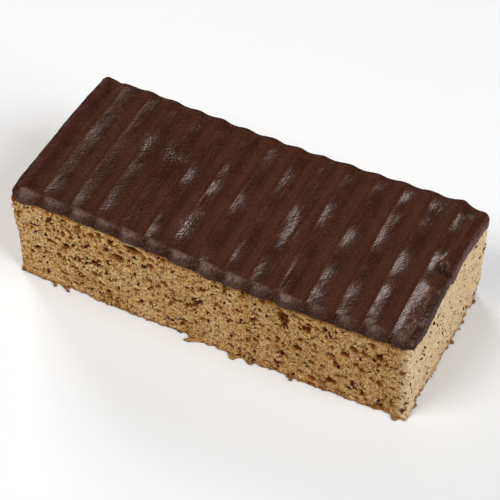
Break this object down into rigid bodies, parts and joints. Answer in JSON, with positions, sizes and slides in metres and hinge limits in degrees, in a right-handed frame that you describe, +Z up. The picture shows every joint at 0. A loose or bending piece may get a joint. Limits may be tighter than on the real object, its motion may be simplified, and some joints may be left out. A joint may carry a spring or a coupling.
{
  "type": "banana cake",
  "caption": "Uncut bar of banana cake: open speckled crumb, with chocolate icing combed into ridges across its top.",
  "frame": {"origin": "bottom centre of the cake, on the surface it rests on", "axes": "+X along the bar towards its cut end, +Y across it away from the long cut face, +Z up"},
  "size_m": [0.2044, 0.0944, 0.0565],
  "materials": {
    "crumb": null,
    "icing": null
  },
  "bodies": {
    "root": {"crumb": "crumb", "icing": "icing"}
  },
  "joints": []
}
